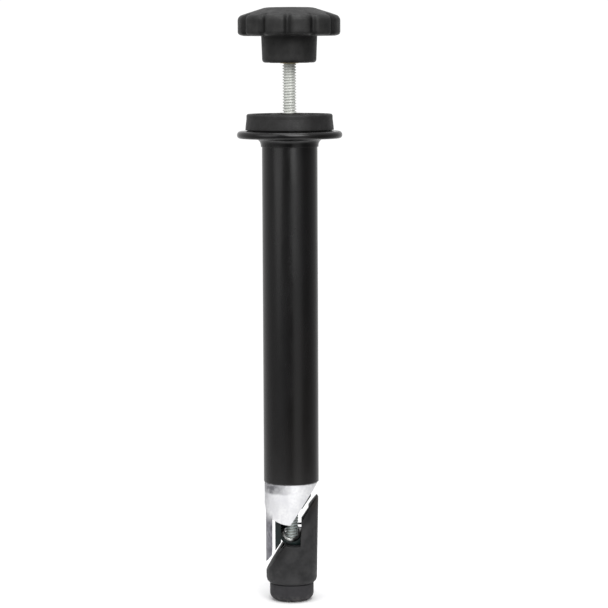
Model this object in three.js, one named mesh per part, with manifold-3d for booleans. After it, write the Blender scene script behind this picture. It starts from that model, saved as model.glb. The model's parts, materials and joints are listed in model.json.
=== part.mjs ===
// Wedge-expander clamp stem: a tube that hangs by its flange in a slightly wider tube and grips it.
// A hand knob turns a threaded rod, which draws a slanted lower wedge up against the slanted end of
// an aluminium upper wedge, so that the lower wedge climbs sideways and presses on the wider tube.
// Millimetres, +Z up. The origin is the middle of the foot's underside, on the tube's axis. The
// lower wedge climbs towards +X, and the open side of the wedges faces -Y.
import * as THREE from "three";
import { mergeVertices } from "three/addons/utils/BufferGeometryUtils.js";
import Module from "manifold-3d";

const wasm = await Module();
wasm.setup();

// Driving dimensions
const GAP = 0.3; // clearance between neighbouring pieces
const ROUND = 40; // facets around a large turned piece
const ROUND_SMALL = 24; // facets around a small turned piece

const TUBE_RADIUS = 20;
const TUBE_BORE = 17.5;
const TUBE_BOTTOM = 87.5;
const TUBE_TOP = 340;

const FLANGE_RADIUS = 37.9;
const FLANGE_SEAT = 337;
const FLANGE_TOP = 342.3;
const FLANGE_NECK_BOTTOM = 331;
const FLANGE_NECK_RADIUS = 20.8;

const CAP_RADIUS = 31;
const CAP_SKIRT_RADIUS = 31.9;
const CAP_BOTTOM = 343.1;
const CAP_TOP = 354.6;
const CAP_SPIGOT_BOTTOM = 322;
const CAP_RECESS_DEPTH = 2.2;
const CAP_BOSS_RADIUS = 13.5;
const CAP_BORE = 8;
const CAP_WASHER_RADIUS = 11;
const CAP_WASHER_SUNK = 1;

const KNOB_RADIUS = 37.55;
const KNOB_LOBES = 12;
const KNOB_FIRST_GROOVE = -1.5; // degrees from -Y
const KNOB_GROOVE_DEPTH = 1.9;
const KNOB_BOSS_BOTTOM = 391.2;
const KNOB_RIM_BOTTOM = 410.3;
const KNOB_RIM_TOP = 424.9;
const KNOB_TOP = 430.6;
const INSERT_RADIUS = 9;
const INSERT_TIP_RADIUS = 6.6;
const INSERT_TOP = 413;
const COVER_RADIUS = 13;
const COVER_DEPTH = 1.7;
const LOCK_NUT_HEIGHT = 5;
const THRUST_WASHER_RADIUS = 14;
const THRUST_WASHER_SUNK = 1;

const ROD_RADIUS = 4.9;
const ROD_BOTTOM = 15.5;
const ROD_TOP = 421;

const SLANT = THREE.MathUtils.degToRad(34); // of the wedges' faces, from the axis
const UPPER_SLANT_Z = 59.3; // where the upper wedge's slanted face crosses the axis
const SLIDE_SLANT_Z = 56.1; // where the liner's sliding face crosses the axis
const LOWER_SLANT_Z = 49.2; // where the lower wedge's slanted face crosses the axis
const WEDGE_SHIFT = 2.5; // sideways travel of the lower wedge

const PLUG_RADIUS = 19.5;
const PLUG_TOP = 118;
const NOSE_CENTRE_Z = 71;
const NOSE_HALF_WIDTH = 19.2;
const NOSE_DEPTH = 13;
const LEG_RADIUS = 18.7;
const LEG_INNER_X = -14.2;

const PLUG_BORE = 7.5;
const SCREW_Z = 102;
const SCREW_TIP_Y = 9;
const SCREW_RADIUS = 2.5;
const SCREW_HEAD_RADIUS = 4.2;

const LINER_HALF_WIDTH = 11.8;
const LINER_HALF_DEPTH = 14.6;
const LINER_WALL = 2.4;
const LINER_LIP_X = -7.6; // inner edge of the left cheek's front lip
const LINER_LIP_BACK_Y = -10.4;
const LINER_RIGHT_X = 7.5; // inner face of the right cheek
const LINER_SHOE_X = 14.2; // outer face of the right cheek
const LINER_SHOE_FRONT_Y = -6;
const LINER_SHOE_BACK_Y = 8;
const LINER_TOP = 84;

const WEDGE_RADIUS_BOTTOM = 18.5;
const WEDGE_RADIUS_TOP = 19.6;
const WEDGE_SHOULDER_Z = 12.6;
const WEDGE_TIP_Z = 77.8;
const SLOT_RIGHT_X = 7.2;
const POCKET_RIGHT_X = 12.4; // of the open pocket behind the slot
const POCKET_FRONT_Y = 2.5;
const SADDLE_RADIUS = 6.9;
const SADDLE_AXIS_Z = 51.2;
const SADDLE_THICKNESS = 1.5;
const SADDLE_HALF_LENGTH = 7.5;
const SEAT_RADIUS = 9.1; // of its left half
const SEAT_RIGHT_X = 6.4; // of its right half, which is square
const SEAT_HALF_LENGTH = 10;
const BACK_WALL_Z = 49.9; // top of the wall behind the seat
const WEB_BOTTOM_Z = 29.4;
const NUT_HEIGHT = 8;
const NUT_HALF_WIDTH = 8.5;
const NUT_WASHER_THICKNESS = 1.5;
const ROD_CLEARANCE = 0.6; // around the rod in the holes it shifts sideways in
const KEEPER_Z = 53.9;
const KEEPER_THICKNESS = 1.1;
const KEEPER_LEFT_X = -7.3;
const KEEPER_RIGHT_X = 13.8;
const KEEPER_FRONT_Y = 6;
const KEEPER_BACK_Y = 8.4;

const FOOT_RADIUS = 16;
const FOOT_TOP = 12.3;
const FOOT_EDGE_RADIUS = 5.5;
const FOOT_SPIGOT_TOP = 16;

const THROUGH = 40; // past every face, for cutting right through a piece

// Helpers

function toSolid(geometry) {
  const bare = geometry.index ? geometry.toNonIndexed() : geometry.clone();
  for (const name of Object.keys(bare.attributes)) {
    if (name !== "position") bare.deleteAttribute(name);
  }
  const merged = mergeVertices(bare, 1e-4);
  const mesh = new wasm.Mesh({
    numProp: 3,
    vertProperties: new Float32Array(merged.attributes.position.array),
    triVerts: new Uint32Array(merged.index.array),
  });
  return new wasm.Manifold(mesh);
}

function toGeometry(solid) {
  const mesh = solid.getMesh();
  const geometry = new THREE.BufferGeometry();
  geometry.setAttribute("position", new THREE.BufferAttribute(mesh.vertProperties, 3));
  geometry.setIndex(new THREE.BufferAttribute(mesh.triVerts, 1));
  geometry.computeVertexNormals();
  return geometry;
}

// A closed profile of [radius, z] points turned about the Z axis. It runs up the outside and back
// down the inside, or starts and ends on the axis.
function turned(profile, facets = ROUND) {
  const onAxis = profile[0][0] === 0 && profile[profile.length - 1][0] === 0;
  const points = profile.map(([radius, z]) => new THREE.Vector2(radius, z));
  if (!onAxis) points.push(points[0].clone());
  return toSolid(new THREE.LatheGeometry(points, facets).rotateX(Math.PI / 2));
}

function cylinder(radius, bottom, top, facets = ROUND_SMALL) {
  return turned([[0, bottom], [radius, bottom], [radius, top], [0, top]], facets);
}

// A small cylinder along +Y.
function cylinderY(radius, front, back, z, facets = 16) {
  return cylinder(radius, front, back, facets).rotate([-90, 0, 0]).translate([0, 0, z]);
}

// An outline in the XZ plane, run through from one y to another.
function prismY(shape, front, back, curveSegments = 12) {
  const options = { depth: back - front, bevelEnabled: false, curveSegments };
  const geometry = new THREE.ExtrudeGeometry(shape, options);
  return toSolid(geometry.rotateX(Math.PI / 2).translate(0, back, 0));
}

// An outline in the XY plane, run through from one z to another.
function prismZ(shape, bottom, top, curveSegments = 12) {
  const options = { depth: top - bottom, bevelEnabled: false, curveSegments };
  return toSolid(new THREE.ExtrudeGeometry(shape, options).translate(0, 0, bottom));
}

function box(x0, x1, y0, y1, z0, z1) {
  const geometry = new THREE.BoxGeometry(x1 - x0, y1 - y0, z1 - z0);
  return toSolid(geometry.translate((x0 + x1) / 2, (y0 + y1) / 2, (z0 + z1) / 2));
}

// Points of a quarter turn or less, in a profile.
function arc(centreA, centreB, radius, from, to, steps = 4) {
  const points = [];
  for (let i = 0; i <= steps; i += 1) {
    const angle = THREE.MathUtils.degToRad(from + ((to - from) * i) / steps);
    points.push([centreA + radius * Math.cos(angle), centreB + radius * Math.sin(angle)]);
  }
  return points;
}

// A slot with round ends along X, in the XY plane.
function slotShape(fromX, toX, halfWidth) {
  const shape = new THREE.Shape();
  shape.absarc(toX, 0, halfWidth, -Math.PI / 2, Math.PI / 2, false);
  shape.absarc(fromX, 0, halfWidth, Math.PI / 2, (Math.PI * 3) / 2, false);
  return shape;
}

// Everything on one side of the slanted plane that crosses the axis at height z. side is 1 for the
// lower right of it and -1 for the upper left.
function slantedHalf(z, side) {
  const reach = 150;
  const along = new THREE.Vector2(Math.sin(SLANT), Math.cos(SLANT)).multiplyScalar(reach);
  const across = new THREE.Vector2(Math.cos(SLANT), -Math.sin(SLANT)).multiplyScalar(reach * side);
  const low = new THREE.Vector2(0, z).sub(along);
  const high = new THREE.Vector2(0, z).add(along);
  const corners = [low, low.clone().add(across), high.clone().add(across), high];
  if (side < 0) corners.reverse();
  return prismY(new THREE.Shape(corners), -reach, reach);
}

// Upper end

function knobOutline() {
  const points = [];
  const steps = 7;
  for (let lobe = 0; lobe < KNOB_LOBES; lobe += 1) {
    for (let i = 0; i < steps; i += 1) {
      const part = i / steps;
      const degrees = KNOB_FIRST_GROOVE - 90 + ((lobe + part) * 360) / KNOB_LOBES;
      const dip = Math.abs(Math.cos(part * Math.PI)) ** 7;
      const radius = KNOB_RADIUS - KNOB_GROOVE_DEPTH * dip;
      const angle = THREE.MathUtils.degToRad(degrees);
      points.push(new THREE.Vector2(radius * Math.cos(angle), radius * Math.sin(angle)));
    }
  }
  return new THREE.Shape(points);
}

function handKnob() {
  const bossRadius = 19.4;
  const bossTopRadius = 20.1;
  const rimRound = 3.6;
  const crownRadius = 17;
  const domeSlope = 18;
  const rim = turned([
    [0, KNOB_RIM_BOTTOM],
    ...arc(KNOB_RADIUS - rimRound, KNOB_RIM_BOTTOM + rimRound, rimRound, -90, 0, 4),
    ...arc(KNOB_RADIUS - rimRound, KNOB_RIM_TOP - rimRound, rimRound, 0, 90 - domeSlope, 4),
    [crownRadius, KNOB_TOP],
    [0, KNOB_TOP],
  ]);
  const lobed = rim.intersect(prismZ(knobOutline(), KNOB_RIM_BOTTOM - 1, KNOB_TOP + 1));
  const boss = turned([
    [0, KNOB_BOSS_BOTTOM],
    ...arc(bossRadius - 1.6, KNOB_BOSS_BOTTOM + 1.6, 1.6, -90, 0, 3),
    [bossTopRadius, KNOB_RIM_BOTTOM + 2],
    [0, KNOB_RIM_BOTTOM + 2],
  ]);
  const coverSeatZ = KNOB_TOP - COVER_DEPTH - GAP;
  const insertHole = cylinder(INSERT_RADIUS + GAP, KNOB_BOSS_BOTTOM - 1, INSERT_TOP + GAP);
  const nutPocket = cylinder(11, INSERT_TOP, coverSeatZ + 1);
  const coverSeat = cylinder(COVER_RADIUS + GAP, coverSeatZ, KNOB_TOP + 1);
  const washerSeatZ = KNOB_BOSS_BOTTOM + THRUST_WASHER_SUNK + GAP;
  const washerSeat = cylinder(THRUST_WASHER_RADIUS + GAP, KNOB_BOSS_BOTTOM - 1, washerSeatZ);
  return lobed.add(boss).subtract(insertHole).subtract(nutPocket).subtract(coverSeat).subtract(washerSeat);
}

function knobCover() {
  const bottom = KNOB_TOP - COVER_DEPTH;
  const bevel = 0.5;
  return turned([
    [0, bottom],
    [COVER_RADIUS, bottom],
    [COVER_RADIUS, KNOB_TOP - bevel],
    [COVER_RADIUS - bevel, KNOB_TOP],
    [0, KNOB_TOP],
  ], ROUND_SMALL);
}

// A flat or tall ring with square edges.
function ring(outer, inner, bottom, top) {
  return turned([[outer, bottom], [outer, top], [inner, top], [inner, bottom]], ROUND_SMALL);
}

function knobInsert() {
  const shoulder = KNOB_BOSS_BOTTOM + THRUST_WASHER_SUNK + GAP;
  const tip = KNOB_BOSS_BOTTOM - 0.5;
  const bore = ROD_RADIUS + GAP;
  return turned([
    [INSERT_TIP_RADIUS, tip],
    [INSERT_TIP_RADIUS, shoulder],
    [INSERT_RADIUS, shoulder],
    [INSERT_RADIUS, INSERT_TOP],
    [bore, INSERT_TOP],
    [bore, tip],
  ], ROUND_SMALL);
}

function hexagon(acrossFlats) {
  const corners = [];
  const radius = acrossFlats / Math.sqrt(3);
  for (let i = 0; i < 6; i += 1) {
    const angle = (Math.PI / 3) * i;
    corners.push(new THREE.Vector2(radius * Math.cos(angle), radius * Math.sin(angle)));
  }
  return new THREE.Shape(corners);
}

function knobLockNut() {
  const acrossFlats = 17;
  const bottom = INSERT_TOP + GAP;
  const top = bottom + LOCK_NUT_HEIGHT;
  return prismZ(hexagon(acrossFlats), bottom, top).subtract(cylinder(ROD_RADIUS + GAP, bottom - 1, top + 1));
}

function thrustWasher() {
  const top = KNOB_BOSS_BOTTOM + THRUST_WASHER_SUNK;
  return ring(THRUST_WASHER_RADIUS, INSERT_TIP_RADIUS + GAP, KNOB_BOSS_BOTTOM - 0.2, top);
}

function threadedRod() {
  const bevel = 1;
  return turned([
    [0, ROD_BOTTOM],
    [ROD_RADIUS - bevel, ROD_BOTTOM],
    [ROD_RADIUS, ROD_BOTTOM + bevel],
    [ROD_RADIUS, ROD_TOP - bevel],
    [ROD_RADIUS - bevel, ROD_TOP],
    [0, ROD_TOP],
  ], ROUND_SMALL);
}

function endCap() {
  const spigotRadius = TUBE_BORE - GAP;
  const spigotBevel = 2.5;
  const rimWidth = 3.2;
  const rimRound = 1.5;
  const wallSlope = 0.5;
  const floorZ = CAP_TOP - CAP_RECESS_DEPTH;
  const shell = turned([
    [CAP_SKIRT_RADIUS, CAP_BOTTOM],
    [CAP_SKIRT_RADIUS - 0.3, CAP_BOTTOM + 3],
    [CAP_RADIUS, CAP_BOTTOM + 8],
    ...arc(CAP_RADIUS - rimRound, CAP_TOP - rimRound, rimRound, 0, 90, 3),
    [CAP_RADIUS - rimWidth, CAP_TOP],
    [CAP_RADIUS - rimWidth - wallSlope, floorZ],
    [CAP_BOSS_RADIUS + wallSlope, floorZ],
    [CAP_BOSS_RADIUS, CAP_TOP],
    [CAP_BORE, CAP_TOP],
    [CAP_BORE, CAP_SPIGOT_BOTTOM],
    [spigotRadius - spigotBevel, CAP_SPIGOT_BOTTOM],
    [spigotRadius, CAP_SPIGOT_BOTTOM + spigotBevel],
    [spigotRadius, CAP_BOTTOM],
  ]);
  return shell.subtract(cylinder(CAP_WASHER_RADIUS + GAP, CAP_TOP - CAP_WASHER_SUNK - GAP, CAP_TOP + 1));
}

function capWasher() {
  const bottom = CAP_TOP - CAP_WASHER_SUNK;
  const top = CAP_TOP + 0.6;
  const bevel = 0.4;
  const outer = CAP_WASHER_RADIUS;
  const inner = 6;
  return turned([
    [outer, bottom],
    [outer, top - bevel],
    [outer - bevel, top],
    [inner, top],
    [inner, bottom],
  ], ROUND_SMALL);
}

function capBush() {
  const top = CAP_TOP - CAP_WASHER_SUNK - GAP * 2;
  return ring(CAP_BORE - GAP, ROD_RADIUS + GAP, CAP_SPIGOT_BOTTOM + 6, top);
}

function capGasket() {
  const play = GAP / 2;
  return ring(30.5, 24, FLANGE_TOP + play, CAP_BOTTOM - play);
}

function flangeCollar() {
  const inner = TUBE_RADIUS + GAP / 2;
  const lipRadius = (FLANGE_TOP - FLANGE_SEAT) / 2;
  const fillet = 5;
  return turned([
    [FLANGE_NECK_RADIUS, FLANGE_NECK_BOTTOM],
    ...arc(FLANGE_NECK_RADIUS + fillet, FLANGE_SEAT - fillet, fillet, 180, 90, 3),
    ...arc(FLANGE_RADIUS - lipRadius, FLANGE_SEAT + lipRadius, lipRadius, -90, 90, 6),
    [inner, FLANGE_TOP],
    [inner, FLANGE_NECK_BOTTOM],
  ]);
}

function outerTube() {
  const bevel = 0.6;
  const screwHole = cylinderY(SCREW_HEAD_RADIUS + GAP, TUBE_BORE - 2, TUBE_RADIUS + 2, SCREW_Z);
  return turned([
    [TUBE_RADIUS - bevel, TUBE_BOTTOM],
    [TUBE_RADIUS, TUBE_BOTTOM + bevel],
    [TUBE_RADIUS, TUBE_TOP],
    [TUBE_BORE, TUBE_TOP],
    [TUBE_BORE, TUBE_BOTTOM],
  ]).subtract(screwHole);
}

// Wedges

function noseShape() {
  const shape = new THREE.Shape();
  const top = PLUG_TOP + 1;
  shape.absellipse(0, NOSE_CENTRE_Z, NOSE_HALF_WIDTH, NOSE_DEPTH, Math.PI, Math.PI * 2, false);
  shape.lineTo(PLUG_RADIUS + 1, NOSE_CENTRE_Z);
  shape.lineTo(PLUG_RADIUS + 1, top);
  shape.lineTo(-PLUG_RADIUS - 1, top);
  shape.lineTo(-PLUG_RADIUS - 1, NOSE_CENTRE_Z);
  return shape;
}

function upperWedge() {
  const shoulder = TUBE_BOTTOM - GAP;
  const spigot = TUBE_BORE - GAP;
  const noseBottom = NOSE_CENTRE_Z - NOSE_DEPTH - 1;
  const plug = turned([
    [0, noseBottom],
    [PLUG_RADIUS, noseBottom],
    [PLUG_RADIUS, shoulder],
    [spigot, shoulder],
    [spigot, PLUG_TOP],
    [0, PLUG_TOP],
  ]);
  const nose = plug.intersect(prismY(noseShape(), -THROUGH, THROUGH, 20));
  const strip = box(-THROUGH, LEG_INNER_X, -THROUGH, THROUGH, 20, NOSE_CENTRE_Z + 9);
  const leg = cylinder(LEG_RADIUS, 21, NOSE_CENTRE_Z + 8, ROUND).intersect(strip);
  const rodBore = cylinder(PLUG_BORE, LINER_TOP - 1, PLUG_TOP + 1);
  const screwHole = cylinderY(SCREW_RADIUS + GAP, PLUG_BORE - 0.2, PLUG_RADIUS + 1, SCREW_Z);
  return nose
    .subtract(slantedHalf(UPPER_SLANT_Z, 1))
    .add(leg.subtract(slantedHalf(SLIDE_SLANT_Z, 1)))
    .subtract(linerBlock(GAP, 20, LINER_TOP + GAP))
    .subtract(rodBore)
    .subtract(screwHole);
}

// The liner's outside, as a solid block: a channel with a shoe on its right.
function linerBlock(clearance, bottom, top) {
  const width = LINER_HALF_WIDTH + clearance;
  const depth = LINER_HALF_DEPTH + clearance;
  const channel = box(-width, LINER_RIGHT_X, -depth, depth, bottom, top);
  const back = box(0, width, LINER_SHOE_BACK_Y - 1, depth, bottom, top);
  const shoe = box(
    0, LINER_SHOE_X + clearance, LINER_SHOE_FRONT_Y - clearance, LINER_SHOE_BACK_Y + clearance, bottom, top,
  );
  return channel.add(back).add(shoe);
}

function guideLiner() {
  const backWallY = LINER_HALF_DEPTH - LINER_WALL;
  const leftWallX = LINER_WALL - LINER_HALF_WIDTH;
  const lipRoom = box(LINER_LIP_X, LINER_RIGHT_X, -THROUGH, LINER_LIP_BACK_Y, 0, THROUGH * 3);
  const rodRoom = box(leftWallX, LINER_RIGHT_X, LINER_LIP_BACK_Y, backWallY, 0, THROUGH * 3);
  return linerBlock(0, 25, LINER_TOP)
    .subtract(lipRoom)
    .subtract(rodRoom)
    .subtract(slantedHalf(SLIDE_SLANT_Z, 1));
}

function plugBush() {
  return ring(PLUG_BORE - GAP, ROD_RADIUS + GAP, 92, PLUG_TOP - 1);
}

function plugScrew() {
  const neck = TUBE_BORE + GAP;
  const screw = turned([
    [0, SCREW_TIP_Y],
    [SCREW_RADIUS, SCREW_TIP_Y],
    [SCREW_RADIUS, neck - 0.6],
    [SCREW_HEAD_RADIUS, neck],
    [SCREW_HEAD_RADIUS, TUBE_RADIUS - GAP],
    [0, TUBE_RADIUS - GAP],
  ], 16);
  return screw.rotate([-90, 0, 0]).translate([0, 0, SCREW_Z]);
}

function wedgeBlank() {
  const bottomRound = 4;
  return turned([
    [0, WEDGE_SHOULDER_Z],
    ...arc(WEDGE_RADIUS_BOTTOM - bottomRound, WEDGE_SHOULDER_Z + bottomRound, bottomRound, -90, 0, 3),
    [WEDGE_RADIUS_TOP, WEDGE_TIP_Z - 2],
    [WEDGE_RADIUS_TOP - 0.7, WEDGE_TIP_Z - 0.6],
    [WEDGE_RADIUS_TOP - 2, WEDGE_TIP_Z],
    [0, WEDGE_TIP_Z],
  ]);
}

// A hole along the rod, long enough for the rod's sideways play.
function rodSlot(bottom, top) {
  return prismZ(slotShape(-WEDGE_SHIFT, 0, ROD_RADIUS + ROD_CLEARANCE), bottom, top, 6);
}

// The lower half of a tube, or of a bar where inner is 0, that lies along Y under the saddle's axis.
function halfShell(outer, inner, halfLength) {
  const shape = new THREE.Shape();
  shape.absarc(0, SADDLE_AXIS_Z, outer, Math.PI, Math.PI * 2, false);
  if (inner > 0) {
    shape.lineTo(inner, SADDLE_AXIS_Z);
    shape.absarc(0, SADDLE_AXIS_Z, inner, Math.PI * 2, Math.PI, true);
  }
  return prismY(shape, -halfLength, halfLength, 10);
}

// The square pocket for the nut, and the foot's key that closes it.
function nutSpace(clearance, bottom, top) {
  const side = NUT_HALF_WIDTH + clearance;
  return box(-side - WEDGE_SHIFT, side, -side, side, bottom, top);
}

function lowerWedge() {
  const top = WEDGE_TIP_Z + 1;
  const wallFrontY = SEAT_HALF_LENGTH + GAP;
  const backWall = box(-THROUGH, THROUGH, wallFrontY, THROUGH, 0, BACK_WALL_Z);
  const cradle = halfShell(SADDLE_RADIUS + GAP, 0, THROUGH).add(seatBlank(GAP, THROUGH)).subtract(backWall);
  const openSlot = box(-THROUGH, SLOT_RIGHT_X, -THROUGH, THROUGH, SADDLE_AXIS_Z, top);
  const openPocket = box(0, POCKET_RIGHT_X, POCKET_FRONT_Y, THROUGH, SADDLE_AXIS_Z, top);
  return wedgeBlank()
    .subtract(slantedHalf(LOWER_SLANT_Z, -1))
    .subtract(cradle)
    .subtract(openSlot)
    .subtract(openPocket)
    .subtract(rodSlot(WEB_BOTTOM_Z - 1, SADDLE_AXIS_Z))
    .subtract(nutSpace(GAP, WEDGE_SHOULDER_Z - 1, WEB_BOTTOM_Z))
    .subtract(keeperBlank(GAP));
}

function saddleWasher() {
  const inner = SADDLE_RADIUS - SADDLE_THICKNESS;
  return halfShell(SADDLE_RADIUS, inner, SADDLE_HALF_LENGTH).subtract(rodSlot(40, SADDLE_AXIS_Z + 1));
}

// A bar along Y under the saddle's axis, round on the left and square on the right.
function seatBlank(clearance, halfLength) {
  const radius = SEAT_RADIUS + clearance;
  const rightX = SEAT_RIGHT_X + clearance;
  const shape = new THREE.Shape();
  shape.absarc(0, SADDLE_AXIS_Z, radius, Math.PI, Math.PI * 1.5, false);
  shape.lineTo(rightX, SADDLE_AXIS_Z - radius);
  shape.lineTo(rightX, SADDLE_AXIS_Z);
  return prismY(shape, -halfLength, halfLength, 8);
}

function saddleSeat() {
  const hollow = halfShell(SADDLE_RADIUS + GAP, 0, THROUGH);
  return seatBlank(0, SEAT_HALF_LENGTH).subtract(hollow).subtract(rodSlot(40, SADDLE_AXIS_Z + 1));
}

// A thin bar across the slot, behind the rod, let into the far wall of the pocket.
function keeperBlank(clearance) {
  return box(
    KEEPER_LEFT_X - clearance,
    KEEPER_RIGHT_X + clearance,
    KEEPER_FRONT_Y - clearance,
    KEEPER_BACK_Y + clearance,
    KEEPER_Z - clearance,
    KEEPER_Z + KEEPER_THICKNESS + clearance,
  );
}

function keeperBar() {
  return keeperBlank(0);
}

function drawNut() {
  const top = WEB_BOTTOM_Z - NUT_WASHER_THICKNESS - GAP * 2;
  const bottom = top - NUT_HEIGHT;
  const side = NUT_HALF_WIDTH;
  return box(-side, side, -side, side, bottom, top).subtract(cylinder(ROD_RADIUS + GAP, bottom - 1, top + 1));
}

function nutWasher() {
  const top = WEB_BOTTOM_Z - GAP;
  return ring(NUT_HALF_WIDTH, ROD_RADIUS + 0.5, top - NUT_WASHER_THICKNESS, top);
}

function footPlug() {
  const base = turned([
    [0, 0],
    ...arc(FOOT_RADIUS - FOOT_EDGE_RADIUS, FOOT_EDGE_RADIUS, FOOT_EDGE_RADIUS, -90, 0, 5),
    [FOOT_RADIUS, FOOT_TOP],
    [0, FOOT_TOP],
  ]);
  const key = nutSpace(0, FOOT_TOP - 1, FOOT_SPIGOT_TOP);
  return base.add(key).subtract(rodSlot(-1, FOOT_SPIGOT_TOP + 1));
}

// Materials

function finish(color, roughness, metalness = 0) {
  return new THREE.MeshStandardMaterial({ color, roughness, metalness });
}

const blackPlastic = { color: 0x262626, roughness: 0.6 };
const blackPaint = { color: 0x17171a, roughness: 0.35 };
const blackIron = { color: 0x2f3032, roughness: 0.75 };
const castAluminium = { color: 0xc9cacc, roughness: 0.45, metalness: 1 };
const zinc = { color: 0xbfc6cc, roughness: 0.3, metalness: 1 };
const brass = { color: 0xb08d3c, roughness: 0.35, metalness: 1 };
const rubber = { color: 0x1b1b1b, roughness: 0.85 };
const nylon = { color: 0x141414, roughness: 0.55 };

// Assembly

const PIECES = [
  ["outer_tube", outerTube, blackPaint],
  ["flange_collar", flangeCollar, blackPaint],
  ["cap_gasket", capGasket, rubber],
  ["end_cap", endCap, blackPlastic],
  ["cap_washer", capWasher, blackIron],
  ["cap_bush", capBush, nylon],
  ["upper_wedge", upperWedge, castAluminium],
  ["plug_bush", plugBush, nylon],
  ["plug_screw", plugScrew, zinc],
  ["guide_liner", guideLiner, nylon],
  ["thrust_washer", thrustWasher, nylon],
  ["hand_knob", handKnob, blackPlastic],
  ["knob_cover", knobCover, blackPlastic],
  ["knob_insert", knobInsert, brass],
  ["knob_lock_nut", knobLockNut, zinc],
  ["threaded_rod", threadedRod, zinc],
  ["draw_nut", drawNut, zinc],
  ["nut_washer", nutWasher, zinc],
  ["lower_wedge", lowerWedge, blackIron],
  ["saddle_washer", saddleWasher, zinc],
  ["saddle_seat", saddleSeat, nylon],
  ["keeper_bar", keeperBar, blackIron],
  ["foot_plug", footPlug, rubber],
];

const stem = new THREE.Group();
for (const [name, make, look] of PIECES) {
  const mesh = new THREE.Mesh(toGeometry(make()), finish(look.color, look.roughness, look.metalness));
  mesh.name = name;
  stem.add(mesh);
}

export default stem;
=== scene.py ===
import json
import math

import bmesh
import bpy
from mathutils import Matrix, Vector


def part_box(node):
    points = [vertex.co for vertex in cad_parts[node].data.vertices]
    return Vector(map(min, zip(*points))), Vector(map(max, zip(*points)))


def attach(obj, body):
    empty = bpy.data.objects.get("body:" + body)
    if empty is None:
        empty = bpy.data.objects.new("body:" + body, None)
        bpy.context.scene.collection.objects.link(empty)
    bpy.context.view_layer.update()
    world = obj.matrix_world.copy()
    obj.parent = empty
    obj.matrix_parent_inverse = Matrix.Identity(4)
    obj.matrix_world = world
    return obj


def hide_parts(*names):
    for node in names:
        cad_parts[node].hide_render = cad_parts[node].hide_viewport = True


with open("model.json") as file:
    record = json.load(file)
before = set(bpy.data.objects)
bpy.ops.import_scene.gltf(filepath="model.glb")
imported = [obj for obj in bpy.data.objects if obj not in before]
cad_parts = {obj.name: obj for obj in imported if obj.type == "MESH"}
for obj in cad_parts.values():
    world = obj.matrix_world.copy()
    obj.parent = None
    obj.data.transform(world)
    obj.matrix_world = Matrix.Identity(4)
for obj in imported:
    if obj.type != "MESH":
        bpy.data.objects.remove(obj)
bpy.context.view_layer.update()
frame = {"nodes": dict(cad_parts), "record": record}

# The pieces' profiles are in millimetres. Lengths are in metres where nothing else is said.
MM = 0.001
FINE = 160  # facets around a large turned piece
GAP = 0.3  # mm around a piece that sits in another one
TUBE_WALL = 2.5  # mm
LOBES = 12  # of the hand knob
LOBE_ANGLE = 360 / LOBES
FIRST_GROOVE = -91.5  # degrees from +X
GROOVES_START = 30.5  # mm from the axis; the knob is smooth inside
GROOVES_FULL = 34.5  # mm from the axis; full depth outside
THREAD_PITCH = 2.0  # mm
THREAD_STEPS = 28  # facets a turn
CHAMFER = 0.6  # mm, at the rod's ends
SLANT = math.radians(34)  # of the wedges' faces from upright
SLANT_HEIGHT = 0.0492  # of the lower wedge's face on the Z axis
SADDLE_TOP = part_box("saddle_washer")[1][2]
BODIES = frame["record"]["behaviour"]["bodies"]
BODY_OF = {node: body for body, nodes in BODIES.items() for node in nodes}
SLOT_OF = {entry["node"]: entry["material_slot"] for entry in frame["record"]["subparts"]}

# The studio walls' brightness at some azimuths from -180 to 180 (0 is the camera's side, 90 is +X)
WALLS = (
    (-180, 0.9), (-125, 0.6), (-85, 0.36), (-45, 0.36), (-20, 0.22), (-4, 0.04), (6, 0.06),
    (19, 0.52), (38, 0.52), (56, 0.14), (80, 0.13), (125, 0.4), (180, 1),
)


class Graph:
    """A node tree, with the steps that the world, the floor and the finishes share."""

    def __init__(self, tree):
        self.nodes = tree.nodes
        self.links = tree.links

    def add(self, kind, *values):
        """A new node whose first inputs are fed the values."""
        node = self.nodes.new("ShaderNode" + kind)
        for socket, value in zip(node.inputs, values):
            self.feed(socket, value)
        return node

    def feed(self, socket, value):
        """Links an input to another node's output, or sets it to a constant."""
        if isinstance(value, bpy.types.NodeSocket):
            self.links.new(value, socket)
        else:
            socket.default_value = value

    def coordinates(self, kind):
        return self.nodes.new("ShaderNodeTexCoord").outputs[kind]

    def math(self, operation, a, b):
        node = self.add("Math", a, b)
        node.operation = operation
        return node.outputs[0]

    def vector(self, operation, *values):
        """A vector math node. Its outputs are a Vector and a Value."""
        node = self.add("VectorMath", *values)
        node.operation = operation
        return node

    def spread(self, value, low, high, start=0.3, end=0.7):
        """Maps value from start..end to low..high."""
        return self.add("MapRange", value, start, end, low, high).outputs[0]

    def blend(self, factor, a, b):
        """The colour a where factor is 0 and b where it is 1."""
        node = self.nodes.new("ShaderNodeMix")
        node.data_type = "RGBA"
        self.feed(node.inputs["Factor"], factor)
        for socket, value in ((node.inputs[6], a), (node.inputs[7], b)):
            self.feed(socket, (*value, 1) if isinstance(value, tuple) else value)
        return node.outputs[2]


# Camera, light and floor


def add_camera():
    """The photo's view, through a long lens that looks a little down."""
    data = bpy.data.cameras.new("camera")
    data.sensor_width = 36
    data.lens = 143.8
    data.clip_start = 0.05
    camera = bpy.data.objects.new("camera", data)
    bpy.context.scene.collection.objects.link(camera)
    place = Matrix.Translation((0.0098, -1.75, 0.398))
    tilt = Matrix.Rotation(math.radians(90 - 5.9), 4, "X")
    roll = Matrix.Rotation(math.radians(-0.25), 4, "Z")
    camera.matrix_world = place @ tilt @ roll
    bpy.context.scene.camera = camera


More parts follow.
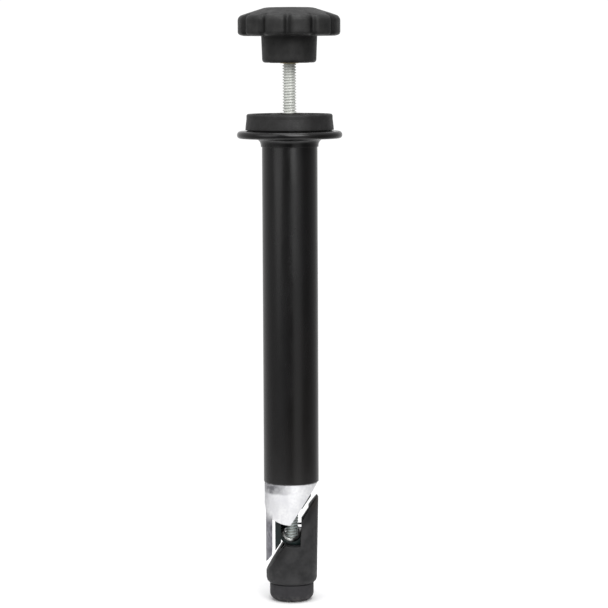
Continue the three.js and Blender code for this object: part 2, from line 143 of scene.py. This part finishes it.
def add_sun(name, azimuth, elevation, strength, size):
    """A wide soft light. Its angles are in degrees (azimuth 0 is the camera's side, 90 is +X)."""
    data = bpy.data.lights.new(name, "SUN")
    data.energy = strength
    data.angle = math.radians(size)
    sun = bpy.data.objects.new(name, data)
    bpy.context.scene.collection.objects.link(sun)
    turn = math.radians(azimuth)
    rise = math.radians(elevation)
    flat = math.cos(rise)
    source = Vector((math.sin(turn) * flat, -math.cos(turn) * flat, math.sin(rise)))
    sun.rotation_euler = source.to_track_quat("Z", "Y").to_euler()


def wall_brightness(graph, azimuth):
    """The studio wall's grey at an azimuth in radians."""
    ramp = graph.add("ValToRGB", graph.spread(azimuth, 0, 1, -math.pi, math.pi))
    stops = ramp.color_ramp.elements
    for angle, level in WALLS[1:-1]:
        stops.new((angle + 180) / 360).color = (level, level, level, 1)
    for end in (0, -1):
        level = WALLS[end][1]
        stops[end].color = (level, level, level, 1)
    return ramp.outputs["Color"]


def add_world():
    """Studio walls under a pale dome light the object; the camera sees a white backdrop."""
    world = bpy.data.worlds.new("studio")
    world.use_nodes = True
    bpy.context.scene.world = world
    graph = Graph(world.node_tree)
    graph.nodes.clear()
    direction = graph.add("SeparateXYZ", graph.coordinates("Generated")).outputs
    ahead = graph.math("MULTIPLY", direction["Y"], -1)
    walls = wall_brightness(graph, graph.math("ARCTAN2", direction["X"], ahead))
    height = graph.spread(direction["Z"], 0, 1, 0.15, 0.75)
    room = graph.add("Background", graph.blend(height, walls, (0.62, 0.62, 0.63)))
    backdrop = graph.add("Background", (1, 1, 1, 1), 1.05)
    seen = graph.add("LightPath").outputs["Is Camera Ray"]
    mix = graph.add("MixShader", seen, room.outputs[0], backdrop.outputs[0])
    graph.add("OutputWorld", mix.outputs[0])


def floor_material():
    """Matt white, clear towards the floor's edge."""
    material = bpy.data.materials.new("floor")
    material.use_nodes = True
    graph = Graph(material.node_tree)
    shader = graph.nodes["Principled BSDF"]
    shader.inputs["Base Color"].default_value = (0.93, 0.93, 0.93, 1)
    shader.inputs["Roughness"].default_value = 0.9
    shader.inputs["Specular IOR Level"].default_value = 0
    distance = graph.vector("LENGTH", graph.coordinates("Object")).outputs["Value"]
    fade = graph.add("MapRange", distance, 0.08, 0.42)
    fade.interpolation_type = "SMOOTHSTEP"
    clear = graph.add("BsdfTransparent")
    mix = graph.add("MixShader", fade.outputs[0], shader.outputs[0], clear.outputs[0])
    graph.links.new(mix.outputs[0], graph.nodes["Material Output"].inputs["Surface"])
    return material


def add_floor():
    """A pale round floor that fades into the backdrop."""
    reach = 0.5
    height = -0.0002
    bm = bmesh.new()
    bm.faces.new(level_ring(bm, reach, height, 96))
    mesh = bpy.data.meshes.new("floor")
    bm.to_mesh(mesh)
    bm.free()
    floor = bpy.data.objects.new("floor", mesh)
    bpy.context.scene.collection.objects.link(floor)
    mesh.materials.append(floor_material())


# Materials


class Surface(Graph):
    """A principled material whose noise and masks use the object's coordinates."""

    def __init__(self, name, roughness, metallic=0.0, specular=0.5):
        self.material = bpy.data.materials.new(name)
        self.material.use_nodes = True
        super().__init__(self.material.node_tree)
        self.shader = self.nodes["Principled BSDF"]
        self.shader.inputs["Roughness"].default_value = roughness
        self.shader.inputs["Metallic"].default_value = metallic
        self.shader.inputs["Specular IOR Level"].default_value = specular
        self.place = self.coordinates("Object")
        self.last_bump = None

    def noise(self, scale, detail, stretch=(1, 1, 1)):
        """Noise of that many cells a metre, stretched along an axis where its factor is below 1."""
        mapping = self.add("Mapping", self.place)
        mapping.inputs["Scale"].default_value = stretch
        texture = self.add("TexNoise", mapping.outputs[0])
        texture.inputs["Scale"].default_value = scale
        texture.inputs["Detail"].default_value = detail
        return texture.outputs["Fac"]

    def mottle(self, scale, detail, low, high, start=0.3, end=0.7, stretch=(1, 1, 1)):
        """Noise mapped from start..end to low..high."""
        return self.spread(self.noise(scale, detail, stretch), low, high, start, end)

    def multiply(self, a, b):
        return self.math("MULTIPLY", a, b)

    def along(self, axis, low, high, start, end):
        """low before start on that axis and high after end."""
        split = self.add("SeparateXYZ", self.place)
        return self.spread(split.outputs[axis], low, high, start, end)

    def off_axis(self):
        """The distance from the Z axis."""
        flat = self.vector("MULTIPLY", self.place, (1, 1, 0))
        return self.vector("LENGTH", flat.outputs[0]).outputs["Value"]

    def past_slant(self):
        """The distance past the lower wedge's slanted face, below 0 inside the wedge."""
        offset = self.vector("SUBTRACT", self.place, (0, 0, SLANT_HEIGHT))
        outward = (-math.cos(SLANT), 0, math.sin(SLANT))
        return self.vector("DOT_PRODUCT", offset.outputs[0], outward).outputs["Value"]

    def from_groove(self):
        """The angle in radians to the nearest groove of the hand knob."""
        split = self.add("SeparateXYZ", self.place)
        angle = self.math("ARCTAN2", split.outputs["Y"], split.outputs["X"])
        turned = self.math("SUBTRACT", angle, math.radians(FIRST_GROOVE))
        return self.math("PINGPONG", turned, math.radians(LOBE_ANGLE / 2))

    def edges(self, width=0.0006):
        """1 on edges, falling to 0 that far from them."""
        bevel = self.add("Bevel", width)
        bevel.samples = 4
        normal = self.nodes.new("ShaderNodeNewGeometry").outputs["Normal"]
        dot = self.vector("DOT_PRODUCT", bevel.outputs[0], normal)
        return self.spread(dot.outputs["Value"], 1, 0, 0.85, 0.98)

    def color(self, value):
        self.links.new(value, self.shader.inputs["Base Color"])

    def roughness(self, value):
        self.links.new(value, self.shader.inputs["Roughness"])

    def bump(self, height, depth):
        """Adds relief of that depth, over any that is there already."""
        node = self.nodes.new("ShaderNodeBump")
        node.inputs["Distance"].default_value = depth
        node.inputs["Strength"].default_value = 1
        self.links.new(height, node.inputs["Height"])
        if self.last_bump:
            self.links.new(self.last_bump, node.inputs["Normal"])
        self.last_bump = node.outputs[0]
        self.links.new(self.last_bump, self.shader.inputs["Normal"])


def black_paint():
    """Glossy paint with faint upright streaks, worn on its edges."""
    skin = Surface("black_paint", 0.24)
    streaks = skin.mottle(28, 3, 0, 1, stretch=(1, 1, 0.12))
    tone = skin.blend(streaks, (0.0035, 0.0035, 0.004), (0.0065, 0.0055, 0.005))
    worn = skin.multiply(skin.edges(), skin.mottle(420, 6, 0, 0.8, 0.48, 0.62))
    skin.color(skin.blend(worn, tone, (0.03, 0.028, 0.026)))
    skin.roughness(skin.mottle(90, 5, 0.18, 0.3, stretch=(1, 1, 0.3)))
    skin.bump(skin.noise(700, 2), 0.00003)
    skin.bump(skin.noise(2600, 2), 0.00001)
    return skin.material


def moulded_plastic(name, dark, light, grooved=False):
    """Grained plastic with rubbed edges, and with painted shade in the hand knob's grooves if grooved."""
    skin = Surface(name, 0.5, specular=0.32)
    tone = skin.blend(skin.mottle(150, 8, 0, 1, 0.35, 0.75), dark, light)
    if grooved:
        # Painted shade: the colour darkens in the knob's grooves, towards its rim.
        groove_shade = skin.spread(skin.from_groove(), 0.85, 0, math.radians(3.2), math.radians(5.8))
        outside = skin.spread(skin.off_axis(), 0, 1, GROOVES_START * MM, GROOVES_FULL * MM)
        tone = skin.blend(skin.multiply(groove_shade, outside), tone, (0.0035, 0.0035, 0.0035))
    rubbed = skin.multiply(skin.edges(0.0005), skin.mottle(600, 5, 0, 0.6, 0.45, 0.65))
    skin.color(skin.blend(rubbed, tone, tuple(channel * 1.5 for channel in light)))
    skin.roughness(skin.mottle(240, 6, 0.42, 0.58))
    skin.bump(skin.noise(900, 4), 0.00006)
    skin.bump(skin.noise(3400, 3), 0.00005)
    return skin.material


def cast_aluminium():
    """Bright cast metal, with painted shade under the tube and on the left, and a darker leg."""
    skin = Surface("cast_aluminium", 0.5, metallic=0.2)
    bright = skin.blend(skin.mottle(75, 6, 0, 1, 0.36, 0.66), (0.8, 0.8, 0.805), (0.62, 0.62, 0.64))
    bright = skin.blend(skin.mottle(520, 6, 0, 1, 0.42, 0.7), bright, (0.66, 0.66, 0.68))
    # Painted shade: the colour is darker at the top under the tube, more so towards the left.
    under_tube = skin.along("Z", 0, 1, 0.0795, 0.081)
    leftward = skin.along("X", 1, 0.04, -0.013, 0.002)
    top_left_shade = skin.multiply(skin.multiply(under_tube, leftward), skin.mottle(210, 6, 0.45, 1, 0.35, 0.6))
    bright = skin.blend(top_left_shade, bright, (0.14, 0.14, 0.15))
    # Painted shade along the left side.
    left_side = skin.along("X", 1, 0, -0.0185, -0.0155)
    shade = skin.multiply(left_side, skin.mottle(300, 6, 0.1, 0.6, 0.35, 0.6))
    bright = skin.blend(shade, bright, (0.4, 0.4, 0.42))
    # A darker mottled tone on the leg.
    leg_darker_tone = skin.blend(skin.mottle(330, 8, 0, 1, 0.35, 0.65), (0.2, 0.2, 0.225), (0.075, 0.075, 0.09))
    leg = skin.multiply(skin.along("X", 1, 0, -0.0141, -0.0133), skin.along("Z", 1, 0, 0.058, 0.066))
    skin.color(skin.blend(leg, bright, leg_darker_tone))
    skin.roughness(skin.mottle(260, 6, 0.38, 0.58))
    skin.bump(skin.noise(1300, 5), 0.00007)
    skin.bump(skin.noise(160, 3), 0.00012)
    return skin.material


def black_iron(name, dark, light, roughness):
    """Blackened iron, with painted shade along the slanted face, and browner at its tip."""
    skin = Surface(name, roughness, specular=0.3)
    tone = skin.blend(skin.mottle(95, 8, 0, 1, 0.36, 0.64), dark, light)
    # Painted shade near the slanted face, in the gap between the wedges.
    slant_shade = skin.spread(skin.past_slant(), 0.75, 0, -0.002, -0.0055)
    tone = skin.blend(slant_shade, tone, (0.004, 0.004, 0.0042))
    tip = skin.multiply(skin.along("Z", 0, 1, 0.066, 0.076), skin.mottle(300, 4, 0.2, 0.9))
    tone = skin.blend(tip, tone, (0.022, 0.016, 0.012))
    rubbed = skin.multiply(skin.edges(), skin.mottle(500, 5, 0, 0.8, 0.45, 0.65))
    skin.color(skin.blend(rubbed, tone, (0.06, 0.058, 0.056)))
    skin.roughness(skin.mottle(400, 6, roughness - 0.1, roughness + 0.1))
    skin.bump(skin.noise(1100, 6), 0.00008)
    skin.bump(skin.noise(220, 3), 0.00008)
    return skin.material


def hard_rubber():
    """Dark rubber, dusty at the bottom."""
    skin = Surface("hard_rubber", 0.7, specular=0.25)
    tone = skin.blend(skin.mottle(110, 7, 0, 1), (0.018, 0.0175, 0.0195), (0.029, 0.028, 0.0305))
    dusty = skin.multiply(skin.along("Z", 1, 0, 0, 0.006), skin.mottle(380, 6, 0, 1, 0.45, 0.62))
    skin.color(skin.blend(dusty, tone, (0.07, 0.067, 0.065)))
    skin.roughness(skin.mottle(350, 5, 0.62, 0.8))
    skin.bump(skin.noise(2000, 4), 0.00004)
    return skin.material


def zinc_steel():
    """Bright zinc, with painted shade on the saddle's right half and arms."""
    skin = Surface("zinc_steel", 0.35, metallic=0.6)
    base = skin.blend(skin.mottle(240, 6, 0, 1, 0.42, 0.7), (0.86, 0.87, 0.85), (0.6, 0.62, 0.6))
    # Painted shade: the saddle is darkened on its right half and on its arms.
    black = (0.016, 0.015, 0.015)
    right_half = skin.multiply(skin.along("X", 0, 1, -0.001, 0.0015), skin.along("Z", 0, 1, 0.038, 0.04))
    arms = skin.along("Z", 0, 0.93, 0.0465, 0.0495)
    saddle_shade = skin.blend(arms, skin.blend(right_half, base, black), black)
    saddle = skin.along("Z", 1, 0, SADDLE_TOP, SADDLE_TOP + 0.002)
    skin.color(skin.blend(saddle, base, saddle_shade))
    skin.roughness(skin.mottle(900, 5, 0.27, 0.47))
    skin.bump(skin.noise(2600, 3), 0.00001)
    return skin.material


def rod_steel():
    """Bright zinc with painted shade in the thread roots, blue-grey where the rod runs in the wedges."""
    skin = Surface("rod_steel", 0.36, metallic=0.2)
    base = skin.blend(skin.mottle(240, 6, 0, 1, 0.42, 0.7), (0.95, 0.965, 0.92), (0.84, 0.87, 0.82))
    base = skin.blend(skin.along("Z", 0.6, 0, 0.088, 0.1), base, (0.36, 0.45, 0.47))
    # Painted shade in the thread roots, stronger lower down.
    root = skin.spread(skin.off_axis(), 1, 0, 0.0041, 0.0047)
    root_shade = skin.multiply(root, skin.along("Z", 0.85, 0.5, 0.09, 0.3))
    skin.color(skin.blend(root_shade, base, (0.38, 0.39, 0.36)))
    skin.roughness(skin.mottle(900, 5, 0.26, 0.46))
    skin.bump(skin.noise(2600, 3, (1, 1, 0.2)), 0.00001)
    return skin.material


def brass():
    skin = Surface("brass", 0.3, metallic=0.9)
    skin.color(skin.blend(skin.mottle(240, 6, 0, 1, 0.42, 0.7), (0.75, 0.58, 0.24), (0.6, 0.42, 0.15)))
    skin.roughness(skin.mottle(900, 5, 0.22, 0.42))
    skin.bump(skin.noise(2600, 3), 0.00001)
    return skin.material


def dark_moulding(name, dark, light):
    skin = Surface(name, 0.5, specular=0.3)
    skin.color(skin.blend(skin.mottle(160, 5, 0, 1), dark, light))
    skin.roughness(skin.mottle(500, 5, 0.42, 0.6))
    skin.bump(skin.noise(1500, 4), 0.00003)
    return skin.material


def make_materials():
    """The finish of each material slot."""
    return {
        "black_paint": black_paint(),
        "gasket_rubber": dark_moulding("gasket_rubber", (0.006, 0.006, 0.006), (0.012, 0.012, 0.012)),
        "cap_plastic": moulded_plastic("cap_plastic", (0.014, 0.0135, 0.0137), (0.025, 0.0245, 0.025)),
        "knob_plastic": moulded_plastic(
            "knob_plastic", (0.014, 0.014, 0.014), (0.03, 0.0298, 0.0292), grooved=True,
        ),
        "nylon": dark_moulding("nylon", (0.004, 0.004, 0.004), (0, 0.0095, 0.009)),
        "dark_steel": black_iron("dark_steel", (0.013, 0.013, 0.013), (0.024, 0.024, 0.024), 0.45),
        "cast_aluminium": cast_aluminium(),
        "zinc_steel": zinc_steel(),
        "rod_steel": rod_steel(),
        "brass": brass(),
        "black_iron": black_iron("black_iron", (0.009, 0.009, 0.0096), (0.026, 0.0255, 0.0265), 0.6),
        "foot_rubber": hard_rubber(),
    }


# Mesh helpers


def add_piece(name, bm, node, sharp=40):
    """A finished piece that replaces a CAD node and rides on its body."""
    bmesh.ops.recalc_face_normals(bm, faces=bm.faces)
    mesh = bpy.data.meshes.new(name)
    bm.to_mesh(mesh)
    bm.free()
    mesh.shade_smooth()
    mesh.set_sharp_from_angle(angle=math.radians(sharp))
    piece = bpy.data.objects.new(name, mesh)
    bpy.context.scene.collection.objects.link(piece)
    mesh.materials.append(MATERIALS[SLOT_OF[node]])
    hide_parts(node)
    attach(piece, BODY_OF[node])
    return piece


def span(node):
    """A node's outer radius and its lowest and highest z, in millimetres."""
    low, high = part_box(node)
    return max(high[0], -low[0]) / MM, low[2] / MM, high[2] / MM


def softened(corners, steps=6):
    """Rounds the corners of a closed outline of (radius, z, fillet) points in millimetres, as metres."""
    points = []
    count = len(corners)
    for i in range(count):
        before = Vector(corners[i - 1][:2])
        here = Vector(corners[i][:2])
        after = Vector(corners[(i + 1) % count][:2])
        fillet = corners[i][2] if len(corners[i]) > 2 else 0
        if fillet == 0:
            points.append(here * MM)
            continue
        back = (before - here).normalized()
        on = (after - here).normalized()
        half = back.angle(on) / 2
        run = fillet / math.tan(half)
        centre = here + (back + on).normalized() * fillet / math.sin(half)
        first = here + back * run - centre
        last = here + on * run - centre
        turn = first.angle_signed(last)
        for k in range(steps + 1):
            spin = Matrix.Rotation(-turn * k / steps, 2)
            points.append((centre + spin @ first) * MM)
    return points


def divided(points, longest, inner):
    """Divides an outline's lines that are longer than longest and lie outside the radius inner."""
    dense = []
    for i, point in enumerate(points):
        dense.append(point)
        after = points[(i + 1) % len(points)]
        if min(point.x, after.x) > inner:
            parts = int((after - point).length / longest)
            dense.extend(point.lerp(after, (k + 1) / (parts + 1)) for k in range(parts))
    return dense


def spun(points, facets=FINE, radius_at=None):
    """Turns a closed outline about Z. radius_at(radius, angle) may shape it on the way round."""
    bm = bmesh.new()
    rings = []
    for k in range(facets):
        angle = 2 * math.pi * k / facets
        ring = []
        for point in points:
            radius = radius_at(point.x, angle) if radius_at else point.x
            ring.append(bm.verts.new((radius * math.cos(angle), radius * math.sin(angle), point.y)))
        rings.append(ring)
    for k in range(facets):
        here = rings[k]
        there = rings[(k + 1) % facets]
        for i in range(len(points)):
            j = (i + 1) % len(points)
            if points[i].x > 0 or points[j].x > 0:
                bm.faces.new((here[i], here[j], there[j], there[i]))
    bmesh.ops.remove_doubles(bm, verts=bm.verts, dist=1e-7)
    return bm


def prism(outline, low, high, axis="Z"):
    """An outline of (x, y) points in metres, run through along Z, or along Y with its y as height."""
    bm = bmesh.new()
    loops = []
    for level in (low, high):
        if axis == "Z":
            loops.append([bm.verts.new((x, y, level)) for x, y in outline])
        else:
            loops.append([bm.verts.new((x, level, y)) for x, y in outline])
    bm.faces.new(loops[0])
    bm.faces.new(loops[1])
    for i in range(len(outline)):
        j = (i + 1) % len(outline)
        bm.faces.new((loops[0][i], loops[0][j], loops[1][j], loops[1][i]))
    return bm


def round_outline(height, radius, count, left=0.0):
    """A circle at (0, height), or a slot where left says how far its left half is moved to -X."""
    outline = []
    for k in range(count):
        angle = 2 * math.pi * (k + 0.5) / count
        shift = left if math.cos(angle) < 0 else 0
        outline.append((radius * math.cos(angle) - shift, height + radius * math.sin(angle)))
    return outline


def temporary(bm):
    """An object that holds bm for a modifier."""
    mesh = bpy.data.meshes.new("temporary")
    bm.to_mesh(mesh)
    bm.free()
    item = bpy.data.objects.new("temporary", mesh)
    bpy.context.scene.collection.objects.link(item)
    return item


def applied(items):
    """The first item's mesh with its modifier applied. All the temporary items are removed."""
    graph = bpy.context.evaluated_depsgraph_get()
    result = bmesh.new()
    result.from_object(items[0], graph)
    for item in items:
        mesh = item.data
        bpy.data.objects.remove(item)
        bpy.data.meshes.remove(mesh)
    return result


def cut(bm, tool):
    """bm less tool, both closed."""
    for source in (bm, tool):
        bmesh.ops.recalc_face_normals(source, faces=source.faces)
    items = [temporary(bm), temporary(tool)]
    modifier = items[0].modifiers.new("cut", "BOOLEAN")
    modifier.operation = "DIFFERENCE"
    modifier.solver = "EXACT"
    modifier.object = items[1]
    return applied(items)


def eased_copy(node, width):
    """The CAD node's own shape with its edges eased by width millimetres."""
    bm = bmesh.new()
    bm.from_mesh(frame["nodes"][node].data)
    same_place = 2e-6
    flat = math.radians(0.6)
    sharp = math.radians(32)
    bmesh.ops.remove_doubles(bm, verts=bm.verts, dist=same_place)
    bmesh.ops.dissolve_limit(
        bm, angle_limit=flat, verts=bm.verts, edges=bm.edges, use_dissolve_boundaries=False,
    )
    item = temporary(bm)
    modifier = item.modifiers.new("ease", "BEVEL")
    modifier.width = width * MM
    modifier.segments = 2
    modifier.limit_method = "ANGLE"
    modifier.angle_limit = sharp
    modifier.use_clamp_overlap = True
    return applied([item])


# Upper end


def knob_radius_at(radius, angle):
    """The knob's radius on the way round: broad lobes with a narrow groove between them."""
    offset = (math.degrees(angle) - FIRST_GROOVE + LOBE_ANGLE / 2) % LOBE_ANGLE - LOBE_ANGLE / 2
    groove = 2.2 * math.exp(-((offset / 3.7) ** 2)) + 0.25 * (1 - (offset / 15) ** 2)
    share = (radius / MM - GROOVES_START) / (GROOVES_FULL - GROOVES_START)
    share = min(1, max(0, share))
    return radius - MM * groove * share * share * (3 - 2 * share)


def make_knob():
    """The lobed knob on its round boss, hollow for the insert, the thrust washer and the cover."""
    radius, low, high = span("hand_knob")
    insert = span("knob_insert")[0] + GAP
    seat = span("thrust_washer")[0] + GAP
    cover = span("knob_cover")[0] + GAP
    boss = 19.4
    boss_top = low + 19.1
    rim_top = high - 6.4
    seat_top = low + 1.3
    cover_floor = high - 2
    profile = softened([
        (seat, low),
        (boss, low, 2.4),
        (boss + 0.7, boss_top, 0.5),
        (radius - 4, boss_top, 3),
        (radius, boss_top + 1, 2.6),
        (radius, rim_top, 4.2),
        (17, high, 16),
        (cover, high, 0.3),
        (cover, cover_floor),
        (insert, cover_floor),
        (insert, seat_top),
        (seat, seat_top),
    ], 8)
    profile = divided(profile, 1.5 * MM, 19 * MM)
    add_piece("knob", spun(profile, LOBES * 24, knob_radius_at), "hand_knob", 55)


def make_knob_cover():
    """The round cover in the knob's top, with a raised rim."""
    radius, low, high = span("knob_cover")
    face = high - 0.35
    profile = softened([
        (0, low),
        (radius, low),
        (radius, high, 0.5),
        (radius - 2.2, high, 0.4),
        (radius - 2.6, face, 0.3),
        (0, face),
    ])
    add_piece("cover", spun(profile), "knob_cover")


def helix_rows(bm, root, crest, start, turns):
    """The rows of vertices along a right-hand thread, each across the profile of one pitch.

    The profile's points are (share of the pitch, share of the thread's height). The thread runs out
    towards both ends.
    """
    shape = ((0.0, 0.0), (0.34, 0.0), (0.44, 1.0), (0.84, 1.0), (0.94, 0.0))
    total = turns * THREAD_STEPS
    run_out = THREAD_STEPS * 0.7
    rows = []
    for i in range(total + 1):
        angle = 2 * math.pi * i / THREAD_STEPS
        fade = min(1, i / run_out, (total - i) / run_out)
        row = []
        for along, height in shape:
            radius = (root + (crest - root) * height * fade) * MM
            z = (start + THREAD_PITCH * (i / THREAD_STEPS + along)) * MM
            row.append(bm.verts.new((radius * math.cos(angle), radius * math.sin(angle), z)))
        rows.append(row)
    return rows


def level_ring(bm, radius, z, count):
    """A ring of vertices at one height."""
    ring = []
    for k in range(count):
        angle = 2 * math.pi * k / count
        ring.append(bm.verts.new((radius * math.cos(angle), radius * math.sin(angle), z)))
    return ring


def close_end(bm, edge, profile, radius, z, tip_z, profile_first):
    """Joins one turn of a thread's edge to a ring at z, and closes that with a chamfer to tip_z.

    The edge's two ends stand a pitch apart on one upright line. The profile's points between them are
    corners of the edge's first face or, if not profile_first, of its last.
    """
    ring = level_ring(bm, radius * MM, z * MM, THREAD_STEPS)
    tip = level_ring(bm, (radius - CHAMFER) * MM, tip_z * MM, THREAD_STEPS)
    for k in range(THREAD_STEPS):
        after = (k + 1) % THREAD_STEPS
        corners = [edge[k], edge[k + 1], ring[after], ring[k]]
        if profile_first and k == 0:
            corners = corners + profile
        if not profile_first and after == 0:
            corners = corners[:2] + profile + corners[2:]
        bm.faces.new(corners)
        bm.faces.new((ring[k], ring[after], tip[after], tip[k]))
    bm.faces.new(tip)


def make_rod():
    """The rod and its helical thread as one closed mesh."""
    radius, low, high = span("threaded_rod")
    root = radius - 0.95
    plain = 1.2
    turns = int((high - low - 2 * plain) / THREAD_PITCH) - 1
    total = turns * THREAD_STEPS
    bm = bmesh.new()
    rows = helix_rows(bm, root, radius, low + plain, turns)
    for i in range(total):
        here = rows[i]
        there = rows[i + 1]
        for j in range(len(here) - 1):
            bm.faces.new((here[j], there[j], there[j + 1], here[j + 1]))
        above = i + THREAD_STEPS
        if above < total:
            bm.faces.new((here[-1], there[-1], rows[above + 1][0], rows[above][0]))
    lower_edge = [rows[i][0] for i in range(THREAD_STEPS + 1)]
    upper_edge = [rows[total - THREAD_STEPS + i][-1] for i in range(THREAD_STEPS + 1)]
    close_end(bm, lower_edge, rows[0][::-1], root, low + CHAMFER, low, False)
    close_end(bm, upper_edge, rows[total][::-1], root, high - CHAMFER, high, True)
    add_piece("rod", bm, "threaded_rod", 35)


def make_cap():
    """The cap on the tube: a rim round a recess, and a boss at the middle."""
    radius, low, high = span("end_cap")
    bore = span("cap_bush")[0] + GAP
    washer = span("cap_washer")[0] + GAP
    spigot = span("outer_tube")[0] - TUBE_WALL - GAP
    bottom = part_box("cap_gasket")[1][2] / MM + 0.15
    rim = radius - 0.9
    boss = 13.5
    recess_floor = high - 2.2
    washer_floor = high - 1.3
    profile = softened([
        (radius, bottom, 0.35),
        (radius - 0.3, bottom + 3, 4),
        (rim, bottom + 8, 4),
        (rim, high, 1.5),
        (rim - 3.2, high, 0.7),
        (rim - 3.7, recess_floor, 0.6),
        (boss + 0.6, recess_floor, 0.6),
        (boss, high, 0.6),
        (washer, high, 0.2),
        (washer, washer_floor),
        (bore, washer_floor),
        (bore, low),
        (spigot - 2.5, low, 0.5),
        (spigot, low + 2.5, 0.5),
        (spigot, bottom),
    ])
    add_piece("cap", spun(profile), "end_cap")


def make_collar():
    """The flange with its rolled lip, and the neck that flares from it into the tube."""
    radius, low, high = span("flange_collar")
    bore = span("outer_tube")[0] + 0.15
    neck = bore + 0.65
    underside = high - 5.3
    profile = softened([
        (bore, low),
        (neck, low, 0.25),
        (neck, underside, 5),
        (radius, underside, 2.3),
        (radius, high, 2.6),
        (bore, high, 0.3),
    ], 10)
    add_piece("collar", spun(profile), "flange_collar", 60)


def screw_place():
    """The height of the plug screw's axis and the radius of its head, in millimetres."""
    low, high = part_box("plug_screw")
    return (low[2] + high[2]) / 2 / MM, (high[2] - low[2]) / 2 / MM


def make_tube():
    """The tube, with the hole for the plug screw in its far side."""
    radius, low, high = span("outer_tube")
    inside = radius - TUBE_WALL
    profile = softened([
        (radius, low, 0.6),
        (radius, high, 0.3),
        (inside, high),
        (inside, low, 0.3),
    ])
    height, head = screw_place()
    hole = round_outline(height * MM, (head + GAP) * MM, 40)
    past = 4
    tool = prism(hole, (inside - past) * MM, (radius + past) * MM, "Y")
    add_piece("tube", cut(spun(profile), tool), "outer_tube")


def make_screw():
    """The plug screw, with a hexagon socket in its head."""
    height, head = screw_place()
    low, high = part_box("plug_screw")
    tip = low[1] / MM
    back = high[1] / MM
    shank = 2.5
    profile = softened([
        (0, tip),
        (shank, tip, 0.4),
        (shank, back - 2.4),
        (head, back - 1.8, 0.2),
        (head, back, 0.5),
        (0, back),
    ])
    socket = prism(round_outline(0, 2.3 * MM, 6), (back - 1.4) * MM, (back + 1) * MM)
    bm = cut(spun(profile, 48), socket)
    bmesh.ops.rotate(bm, verts=bm.verts, cent=(0, 0, 0), matrix=Matrix.Rotation(math.radians(-90), 3, "X"))
    bmesh.ops.translate(bm, verts=bm.verts, vec=(0, 0, height * MM))
    add_piece("screw", bm, "plug_screw")


# Lower end


def make_foot():
    """The foot, with a slot in which the rod can shift to the left."""
    radius, low = span("foot_plug")[:2]
    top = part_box("lower_wedge")[0][2] / MM - 0.08
    profile = softened([
        (0, low),
        (radius, low, 5.5),
        (radius, top, 0.3),
        (0, top),
    ], 12)
    rod = span("threaded_rod")[0] + 2 * GAP
    past = 2
    slot = prism(round_outline(0, rod * MM, 48, 2.5 * MM), (low - past) * MM, (top + past) * MM)
    add_piece("foot", cut(spun(profile), slot), "foot_plug")


def make_wedges():
    add_piece("aluminium_wedge", eased_copy("upper_wedge", 0.35), "upper_wedge")
    add_piece("iron_wedge", eased_copy("lower_wedge", 0.4), "lower_wedge")


def make_small_pieces():
    """The small nodes in their CAD shapes, with eased edges."""
    for node, width in (
        ("guide_liner", 0.3),
        ("saddle_washer", 0.12),
        ("saddle_seat", 0.12),
        ("keeper_bar", 0.15),
        ("cap_washer", 0.12),
        ("thrust_washer", 0.12),
        ("knob_insert", 0.12),
        ("draw_nut", 0.3),
    ):
        add_piece(node + "_eased", eased_copy(node, width), node)


def finish_hidden_nodes():
    """Gives the nodes that keep their CAD mesh their finish."""
    for node in ("cap_gasket", "cap_bush", "plug_bush", "knob_lock_nut", "nut_washer"):
        for slot in frame["nodes"][node].material_slots:
            slot.material = MATERIALS[SLOT_OF[node]]


bpy.context.scene.view_settings.view_transform = "Standard"
MATERIALS = make_materials()
add_camera()
add_world()
add_floor()
add_sun("key", azimuth=14, elevation=28, strength=1.85, size=44)
add_sun("fill", azimuth=-50, elevation=22, strength=0.55, size=50)
add_sun("top", azimuth=0, elevation=84, strength=1.6, size=40)
make_knob()
make_knob_cover()
make_rod()
make_cap()
make_collar()
make_tube()
make_screw()
make_wedges()
make_foot()
make_small_pieces()
finish_hidden_nodes()
